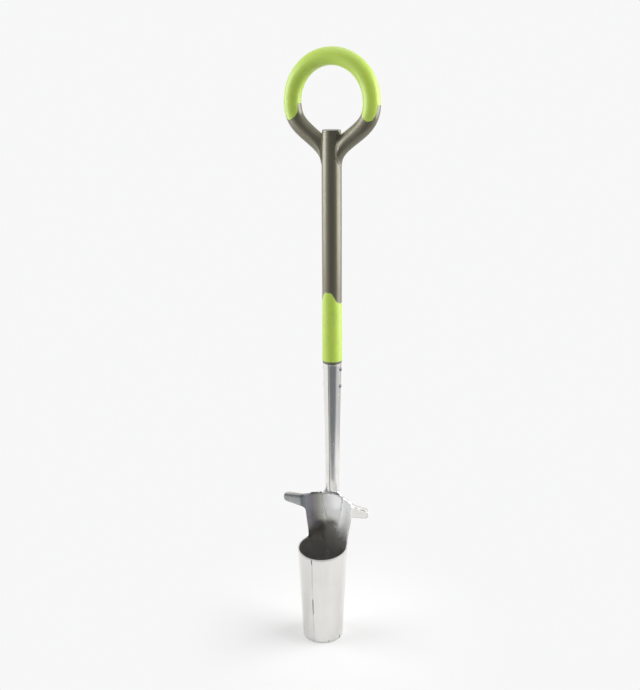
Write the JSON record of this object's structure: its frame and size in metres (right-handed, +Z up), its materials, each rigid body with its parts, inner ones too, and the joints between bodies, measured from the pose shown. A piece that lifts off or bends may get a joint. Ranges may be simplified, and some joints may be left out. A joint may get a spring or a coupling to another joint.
{
  "type": "long-handled bulb planter",
  "caption": "Tall bulb planter: ring grip on a jacketed shaft, a tapered metal socket with a tongue, and a rolled tapered cutter with spread foot treads.",
  "frame": {"origin": "centre of the footprint on the ground, which the tool stands on with its cutting edge", "axes": "+Z up along the shaft, +X to the right tread, -Y the open front of the cutter"},
  "size_m": [0.1776, 0.109, 1.085],
  "materials": {
    "resin": "satin, grey-brown, smooth",
    "soft_grip": "matt, lime green, smooth",
    "stainless": "polished, bright",
    "core_steel": "plain, drawn",
    "weld": "rough, darkened"
  },
  "bodies": {
    "root": {"handle_frame": "resin", "shaft_end_cap": "resin", "ring_grip": "soft_grip", "sleeve_grip": "soft_grip", "core_tube": "core_steel", "socket": "stainless", "socket_rivet_upper": "stainless", "socket_rivet_lower": "stainless", "cutter": "stainless", "tongue_weld_left": "weld", "tongue_weld_right": "weld", "head_top_weld": "weld", "pinch_weld": "weld", "cutter_seam_weld": "weld"}
  },
  "joints": []
}
